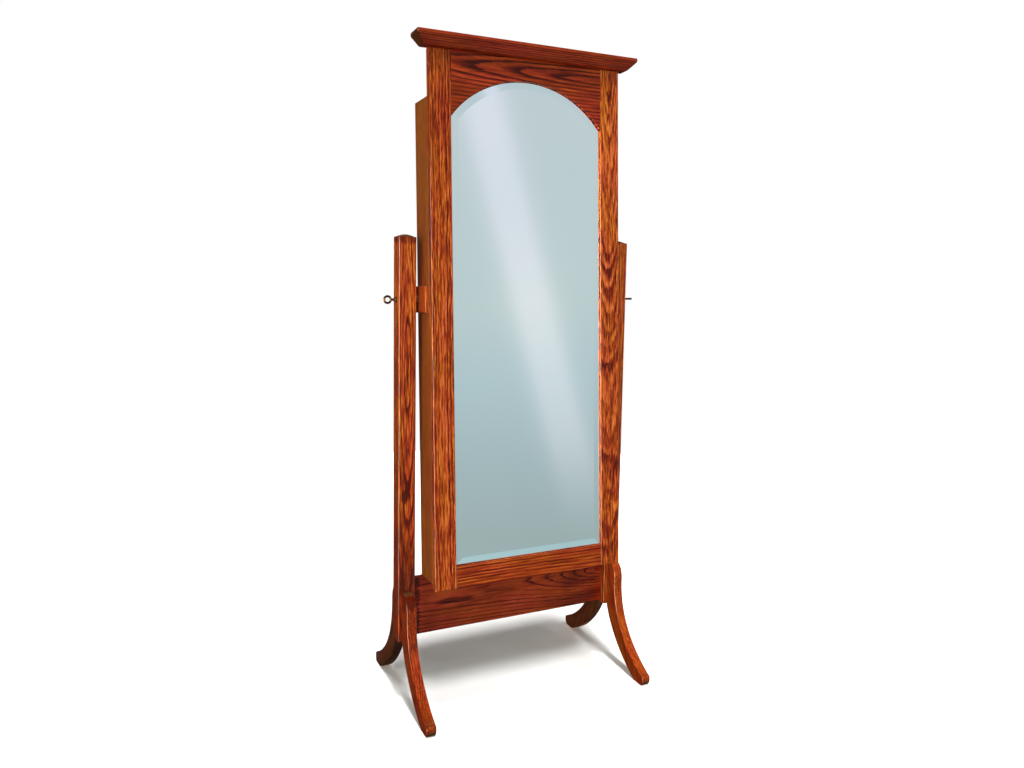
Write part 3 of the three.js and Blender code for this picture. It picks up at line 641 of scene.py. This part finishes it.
stile_figures = {
    -1: dict(pith=(0.06, 0.02), pitch=0.008, tone=0.61, stroke=20, fade=-0.06, seed=5.5),
    1: dict(
        pith=(-0.002, -0.0497), slope=0.09, pitch=0.0065, tone=0.67, contrast=1.05, wave=1.0,
        stroke=24, fade=0.2, dark_grain_and_shade=[(0, 0.6, 0.006, 0.06, 0.35)], seed=7.1,
    ),
}
for side, name in ((-1, "left"), (1, "right")):
    outer, inner, rebate = side * half_door, side * half_sight, side * (half_sight + glass_rebate)
    corners = [
        (outer, door_front), (outer, door_back), (rebate, door_back),
        (rebate, glass_face), (inner, glass_face), (inner, door_front),
    ]
    bm = section_bar([(x, y, door_low) for x, y in corners], (0, 0, door_top - door_low))
    ease(bm, frame_ease)
    bmesh.ops.transform(bm, matrix=hang, verts=bm.verts)
    middle = (side * (half_door + half_sight) / 2, (door_front + door_back) / 2, 0)
    finish = hung_oak(f"{name} stile oak", middle, **stile_figures[side])
    piece(f"{name}_stile", bm, finish, "door", "oak", f"door_{name}_stile")

rail_end = half_sight - fit_gap
top_grain_drop = 0.06  # how far under the door's top the upper rail's grain is placed from
corners = [
    (door_front, door_low), (door_back, door_low), (door_back, sight_low - glass_rebate),
    (glass_face, sight_low - glass_rebate), (glass_face, sight_low), (door_front, sight_low),
]
bm = section_bar([(-rail_end, y, z) for y, z in corners], (2 * rail_end, 0, 0))
ease(bm, rail_ease)
bmesh.ops.transform(bm, matrix=hang, verts=bm.verts)
finish = hung_oak(
    "bottom rail oak", (0, (door_front + door_back) / 2, (door_low + sight_low) / 2), lying,
    pith=(0.05, 0.03), slope=0.03, pitch=0.008, tone=0.52, wave=0.5, stroke=10, streaks=0.5,
    seed=9.9,
)
piece("bottom_rail", bm, finish, "door", "oak", "door_bottom_rail")

crest = upright_box("mirror_glass")[1].z - glass_lap
arch_centre = crest - arch_radius


def arch_face(bm, half, radius, y, corners):
    """A face whose one edge is an arc about the arch's centre, closed by the other corners."""
    turn = math.asin(half / radius)
    start = bm.verts.new((half, y, arch_centre + radius * math.cos(turn)))
    bmesh.ops.spin(
        bm, geom=[start], cent=(0, y, arch_centre), axis=(0, 1, 0), dvec=(0, 0, 0),
        angle=-2 * turn, steps=arch_steps, use_merge=False, use_duplicate=False,
    )
    arc = sorted(bm.verts, key=lambda v: -v.co.x)
    return bm.faces.new(arc + [bm.verts.new((x, y, z)) for x, z in corners])


bm = bmesh.new()
top_corners = [(-rail_end, door_top), (rail_end, door_top)]
face = arch_face(bm, rail_end, arch_radius + glass_rebate, door_back, top_corners)
face = pull(bm, face, (0, glass_face - door_back, 0))
face = pull(bm, face, (0, 0, 0))
for vert in face.verts:
    if vert.co.z < door_top - same_place:
        away = Vector((vert.co.x, 0, vert.co.z - arch_centre))
        if abs(vert.co.x) < rail_end - same_place:
            vert.co -= away.normalized() * glass_rebate
        else:
            vert.co.z = arch_centre + math.sqrt(arch_radius**2 - rail_end**2)
face = pull(bm, face, (0, door_front - glass_face, 0))
ease(bm, rail_ease)
bmesh.ops.transform(bm, matrix=hang, verts=bm.verts)
finish = hung_oak(
    "top rail oak", (0, (door_front + door_back) / 2, door_top - top_grain_drop), lying,
    pith=(-0.026, 0.0302), slope=-0.07, pitch=0.0095, tone=0.57, contrast=1.3, wave=0.3, band=0.6,
    stroke=8, streaks=0.3, ends=(0.86, 0.96), colours=red_stain, seed=2.6,
)
piece("top_rail", bm, finish, "door", "dark_oak", "door_top_rail")


# Mirror: silvered glass, arched to fit the frame, with a wide bevel ground round its face. It lies
# in the frame's rebate, and a thin oak board behind it keeps its silvering from scratches.
glass_bevel, glass_bevel_depth = 0.028, 0.0024
silver_tones = [(0.3, shade(227, 249, 253)), (0.7, shade(231, 252, 255))]
silver, _ = mottled(
    "silvered glass", (3, 3, 2), 1, silver_tones,
    place=hang.to_translation(), turn=hang.to_euler(), Metallic=1.0, Roughness=0.015,
)
low, high = upright_box("mirror_glass")
bm = bmesh.new()
half = half_sight + glass_lap
face = arch_face(bm, half, arch_radius + glass_lap, high.y, [(-half, low.z), (half, low.z)])
face = pull(bm, face, (0, low.y + glass_bevel_depth - high.y, 0))
bmesh.ops.inset_region(
    bm, faces=[face], thickness=glass_bevel, depth=0, use_even_offset=True, use_boundary=True,
)
inner_half, inner_radius = half - glass_bevel, arch_radius + glass_lap - glass_bevel
inner_foot = arch_centre + math.sqrt(inner_radius**2 - inner_half**2)
for vert in face.verts:
    if vert.co.z > 0 and abs(vert.co.x) > inner_half - same_place:
        vert.co.x, vert.co.z = math.copysign(inner_half, vert.co.x), inner_foot
bmesh.ops.translate(bm, verts=face.verts, vec=(0, -glass_bevel_depth, 0))
bmesh.ops.transform(bm, matrix=hang, verts=bm.verts)
glass = piece("bevelled_mirror", bm, silver, "door", "mirror", "mirror_glass")
glass.modifiers.clear()
glass.data.shade_flat()

node = "mirror_backing"
board_oak = hung_oak(
    "backing oak", (0, 0, 0),
    pith=(0.02, 0.2), slope=0.08, pitch=0.009, tone=0.5, contrast=0.6, seed=4.8,
)
piece("backing_board", merged_copy(node), board_oak, "door", "shaded_oak", node)


# Crown board: lies across the top of the door, overhanging its front and both ends. A wide
# chamfer under a square nose runs round the three showing edges.
crown_bevel, crown_nose, crown_ease = 0.022, 0.010, 0.0026
low, high = upright_box("crown_board")
bm = block(low, high)
cut = high.z - crown_nose
bmesh.ops.bisect_plane(
    bm, geom=[*bm.verts, *bm.edges, *bm.faces], plane_co=(0, 0, cut), plane_no=(0, 0, 1),
)
for vert in bm.verts:
    if vert.co.z < cut - same_place:
        vert.co.x -= math.copysign(crown_bevel, vert.co.x)
        if vert.co.y < door_front:
            vert.co.y += crown_bevel
ease(bm, crown_ease)
bmesh.ops.transform(bm, matrix=hang, verts=bm.verts)
finish = hung_oak(
    "crown oak", (0, (low.y + high.y) / 2, (low.z + high.z) / 2), lying,
    pith=(-0.05, 0.04), pitch=0.006, tone=0.6, contrast=0.7, wave=0.4, stroke=10, streaks=0.5,
    ends=(0.3, 0.7), colours=red_stain, seed=1.9,
)
piece("crown", bm, finish, "door", "dark_oak", "crown_board")


# Mirror clips: four pressed steel clips behind the stiles, each under a round-headed screw, hold
# the backing board in its rebate.
steel_tones = [(0.3, shade(168, 170, 174)), (0.7, shade(206, 208, 212))]
steel, brushing = mottled("steel", (90, 90, 1400), 2, steel_tones, Metallic=1.0)
steel.set("Roughness", 0.3 + brushing * 0.2)
for side in ("left", "right"):
    for level in ("lower", "upper"):
        node = f"{side}_{level}_mirror_clip"
        piece(f"{node}_plate", merged_copy(node), steel, "door", "steel", node)


# Hinges: three polished brass butt hinges, each of two leaves that turn on a pin. They are let into
# the back of the right stile and the front edge of the cabinet's right side.
for level in ("upper", "middle", "lower"):
    for part, body in (("cabinet_leaf", "cabinet"), ("door_leaf", "door"), ("pin", "cabinet")):
        node = f"{level}_hinge_{part}"
        piece(f"{node}_brass", merged_copy(node), bright_brass, body, "bright_brass", node)


# Catch: a magnet in a moulded brown case, fixed to the inside of the cabinet's left side. It holds
# the steel strike plate of the left stile.
catch_ease, strike_ease = 0.0008, 0.0003
case_tones = [(0.3, shade(74, 46, 28)), (0.7, shade(98, 64, 40))]
moulding, _ = mottled("catch case", (500, 500, 500), 2, case_tones, Roughness=0.5)
node = "magnetic_catch"
piece(f"{node}_case", merged_copy(node, catch_ease), moulding, "cabinet", "magnet_case", node)
node = "strike_plate"
piece(f"{node}_steel", merged_copy(node, strike_ease), steel, "door", "steel", node)


# Thumbscrews: antique brass screws with a ring for a head, through the posts into the inserts.
# Backing one off lets the cabinet tilt, and tightening it holds the mirror.
antique_tones = [(0.3, shade(32, 23, 15)), (0.55, shade(70, 51, 30)), (0.8, shade(116, 88, 52))]
antique, patina = mottled("antique brass", (240, 240, 240), 3, antique_tones, 0.6, Metallic=1.0)
antique.set("Roughness", 0.3 + patina * 0.25)
antique.bump(patina, 0.0002)
shank_radius, collar_radius, neck_radius = 0.004, 0.0062, 0.0046
collar_length, neck_length = 0.003, 0.0113
ring_radius, ring_wire = 0.0090, 0.0030
point_length, point_share, waist_share, root_share, socket_share = 0.001, 0.75, 0.72, 1.05, 0.8
collar_edge, collar_break, socket_depth = 0.0006, 0.0008, 0.002
turned_steps, wire_steps, ring_steps = 40, 20, 56

for side, name in ((-1, "left"), (1, "right")):
    low, high = upright_box(f"{name}_thumbscrew")
    tip = min(abs(low.x), abs(high.x))
    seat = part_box("right_post")[1].x + fit_gap
    neck_start = seat + collar_length
    neck_end = neck_start + neck_length
    stations = [
        (tip, 0), (tip, shank_radius * point_share), (tip + point_length, shank_radius),
        (seat, shank_radius), (seat, collar_radius - collar_edge),
        (seat + collar_edge, collar_radius), (neck_start - collar_break, collar_radius),
        (neck_start, collar_radius - collar_break), (neck_start, neck_radius),
        (neck_start + neck_length / 2, neck_radius * waist_share),
        (neck_end - point_length, ring_wire * root_share),
        (neck_end + socket_depth, ring_wire * socket_share), (neck_end + socket_depth, 0),
    ]
    bm = bmesh.new()
    chain = [bm.verts.new((x, 0, radius)) for x, radius in stations]
    edges = [bm.edges.new(pair) for pair in zip(chain, chain[1:])]
    bmesh.ops.spin(
        bm, geom=[*chain, *edges], cent=(0, 0, 0), axis=(1, 0, 0), dvec=(0, 0, 0),
        angle=2 * math.pi, steps=turned_steps, use_merge=True, use_duplicate=False,
    )
    centre = (neck_end + ring_radius, 0, 0)
    ring_far = Matrix.Translation((neck_end + 2 * ring_radius, 0, 0))
    start = ring_far @ Matrix.Rotation(math.pi / 2, 4, "X")
    wire = bmesh.ops.create_circle(bm, segments=wire_steps, radius=ring_wire, matrix=start)["verts"]
    loop = {e for v in wire for e in v.link_edges}
    bmesh.ops.spin(
        bm, geom=[*wire, *loop], cent=centre, axis=(0, 0, 1), dvec=(0, 0, 0),
        angle=2 * math.pi, steps=ring_steps, use_merge=True, use_duplicate=False,
    )
    if side < 0:
        for angle, axis in ((math.pi / 2, "X"), (math.pi, "Z")):
            turn = Matrix.Rotation(angle, 3, axis)
            bmesh.ops.rotate(bm, verts=bm.verts, cent=(0, 0, 0), matrix=turn)
    bmesh.ops.transform(bm, matrix=hang, verts=bm.verts)
    piece(f"{name}_ring_screw", bm, antique, f"{name}_thumbscrew", "brass", f"{name}_thumbscrew")


# Floor and light: a pale floor and a bright, plain studio. A broad overhead light leaves a soft
# shadow under the cabinet, and lights in front model the posts and legs.
floor_radius, floor_sides = 3.0, 96
bm = bmesh.new()
bmesh.ops.create_circle(bm, cap_ends=True, segments=floor_sides, radius=floor_radius)
mesh = bpy.data.meshes.new("floor")
bm.to_mesh(mesh)
bm.free()
floor = bpy.data.objects.new("floor", mesh)
bpy.context.scene.collection.objects.link(floor)
pale_tones = [(0.3, shade(244, 243, 242)), (0.7, shade(250, 250, 250))]
pale, _ = mottled("pale floor", (9, 9, 9), 3, pale_tones, Roughness=0.8, Specular_IOR_Level=0.0)
mesh.materials.append(pale.material)
floor.visible_glossy = False
floor.visible_diffuse = False

world = bpy.data.worlds.new("studio")
bpy.context.scene.world = world
world.use_nodes = True
studio = Finish("studio", world.node_tree)
way = studio.add("TexCoord", {}, {}, "Generated")
ahead, height = studio.parts(way)[1:]


def bearing(right, up):
    """The direction so many degrees to the right of straight in front, and so many above level."""
    right, up = math.radians(right), math.radians(up)
    return Vector((math.sin(right) * math.cos(up), -math.cos(right) * math.cos(up), math.sin(up)))


def off_plane(first, second):
    """How far the ray's direction lies from the plane through two bearings."""
    side = bearing(*first).cross(bearing(*second)).normalized()
    return studio.add("VectorMath", {"operation": "DOT_PRODUCT"}, {0: way, 1: side}, "Value")


walls = [
    (0.05, (0.50, 0.58, 0.58)), (0.125, (0.45, 0.55, 0.56)), (0.21, (0.38, 0.44, 0.44)),
    (0.29, (0.40, 0.42, 0.41)), (0.38, (0.44, 0.475, 0.48)), (0.465, (0.50, 0.54, 0.555)),
    (0.55, (0.585, 0.595, 0.583)), (0.77, (0.61, 0.595, 0.60)), (0.92, (0.57, 0.575, 0.59)),
]
stops = [(place, (*colour, 1)) for place, colour in walls]
backdrop = studio.add("ValToRGB", {"stops": stops}, {"Fac": height + 0.5})
sheen_top, sheen_foot, sheen_half_width = (22.8, 13.4), (27.3, -7.2), 0.024
screen_foot, screen_top = (-66, 0), (-66, 40)
front = ahead.between(0.2, -0.4)
strip = off_plane(sheen_top, sheen_foot) / sheen_half_width
sheen = 1 / (1 + strip ** 4) * height.between(-0.22, -0.08)
low_down = height.between(0.2, -0.05)
sheen = sheen * (1 + low_down * 0.35)
screen = abs(off_plane(screen_foot, screen_top)).between(0.65, 0.3) * front
screen = screen * height.between(-0.42, -0.28) * height.between(0.24, 0.1)
glow = front + 0.06
sheen_light, screen_light = (0.36, 0.22, 0.3 - low_down * 0.09), (160, 112, 84)
bands = enumerate(zip(sheen_light, screen_light))
channels = {band: glow + sheen * soft + screen * strong for band, (soft, strong) in bands}
tinted = studio.mix(1.0, backdrop, studio.add("CombineColor", {}, channels), "MULTIPLY")
path = studio.add("LightPath", {}, {}, "Is Camera Ray")
glossy = Value(studio, path.socket.node.outputs["Is Glossy Ray"])
room_light = (0.215, 0.198, 0.194, 1)
room = studio.mix(glossy, room_light, tinted)
seen = studio.mix(path, room, (1, 1, 1, 1))
studio.feed(world.node_tree.nodes["Background"].inputs["Color"], seen)


def lamp(name, right, up, energy, spread, colour):
    """A soft lamp far off in that direction, seen by its light alone."""
    data = bpy.data.lights.new(name, "SUN")
    data.energy, data.angle, data.color = energy, math.radians(spread), colour
    made = bpy.data.objects.new(name, data)
    bpy.context.scene.collection.objects.link(made)
    made.matrix_world = bearing(right, up).to_track_quat("Z", "Y").to_matrix().to_4x4()
    made.visible_glossy = False


lamp("broad overhead", -4, 62.5, 2.8, 17, (1, 1, 1))
lamp("steep overhead", -8, 81, 2.6, 4, (1, 1, 1))
lamp("side", -50, 5, 2.9, 70, (0.9, 1, 0.84))
lamp("back", -140, 0, 0.5, 20, (1, 1, 0.94))
lamp("fill", 35, 5, 0.5, 24, (1, 0.96, 0.92))

bpy.context.scene.view_settings.view_transform = "Standard"
